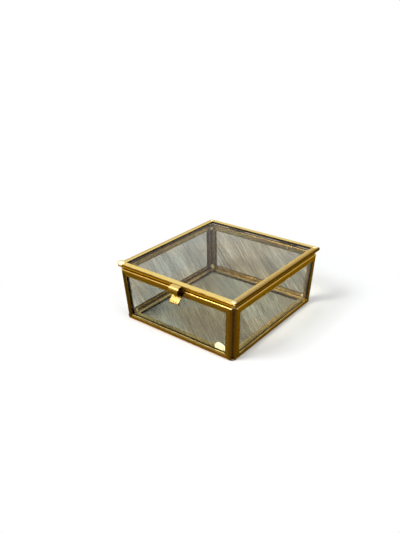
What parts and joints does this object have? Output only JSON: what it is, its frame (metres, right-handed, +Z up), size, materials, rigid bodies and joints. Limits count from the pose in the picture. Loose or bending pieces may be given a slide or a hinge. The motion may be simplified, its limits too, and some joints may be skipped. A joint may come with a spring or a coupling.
{
  "type": "jewelry box",
  "caption": "Low square jewelry box of clear glass panes edged in folded brass channel, with a hinged overhanging lid and a curled front clasp.",
  "frame": {"origin": "middle of the whole footprint, clasp and hinges included, at the height of the underside of the floor frame", "axes": "+Z up, -Y towards the front wall with the clasp, +X to the right of someone facing the front"},
  "size_m": [0.1066, 0.1202, 0.0474],
  "materials": {
    "brass": "warm lacquered brass with darker folds",
    "hinge_brass": "darker worn brass",
    "solder": "smooth brass-washed solder",
    "glass": "clear glass with a faint green edge",
    "paper": "plain cream paper"
  },
  "bodies": {
    "box": {"front_top_rail": "brass", "front_bottom_rail": "brass", "front_left_rail": "brass", "front_right_rail": "brass", "front_glass": "glass", "back_top_rail": "brass", "back_bottom_rail": "brass", "back_left_rail": "brass", "back_right_rail": "brass", "back_glass": "glass", "left_top_rail": "brass", "left_bottom_rail": "brass", "left_front_rail": "brass", "left_back_rail": "brass", "left_glass": "glass", "right_top_rail": "brass", "right_bottom_rail": "brass", "right_front_rail": "brass", "right_back_rail": "brass", "right_glass": "glass", "floor_front_rail": "brass", "floor_back_rail": "brass", "floor_left_rail": "brass", "floor_right_rail": "brass", "floor_glass": "glass", "hinge_left_outer_tab": "hinge_brass", "hinge_left_inner_tab": "hinge_brass", "hinge_left_pin": "hinge_brass", "hinge_right_outer_tab": "hinge_brass", "hinge_right_inner_tab": "hinge_brass", "hinge_right_pin": "hinge_brass", "corner_solder_front_left": "solder", "corner_solder_front_right": "solder", "corner_solder_back_left": "solder", "corner_solder_back_right": "solder", "paper_dot": "paper"},
    "lid": {"lid_front_rail": "brass", "lid_back_rail": "brass", "lid_left_rail": "brass", "lid_right_rail": "brass", "lid_glass": "glass", "hinge_left_lid_tab": "hinge_brass", "hinge_right_lid_tab": "hinge_brass", "clasp": "brass", "lid_solder_front_left": "solder", "lid_solder_front_right": "solder", "lid_solder_back_left": "solder", "lid_solder_back_right": "solder"}
  },
  "joints": [
    {"name": "lid_hinge", "type": "hinge", "parent": "box", "child": "lid", "pos_m": [0, 0.05905, 0.04205], "axis": [-1, 0, 0], "range_deg": [0, 180]}
  ]
}
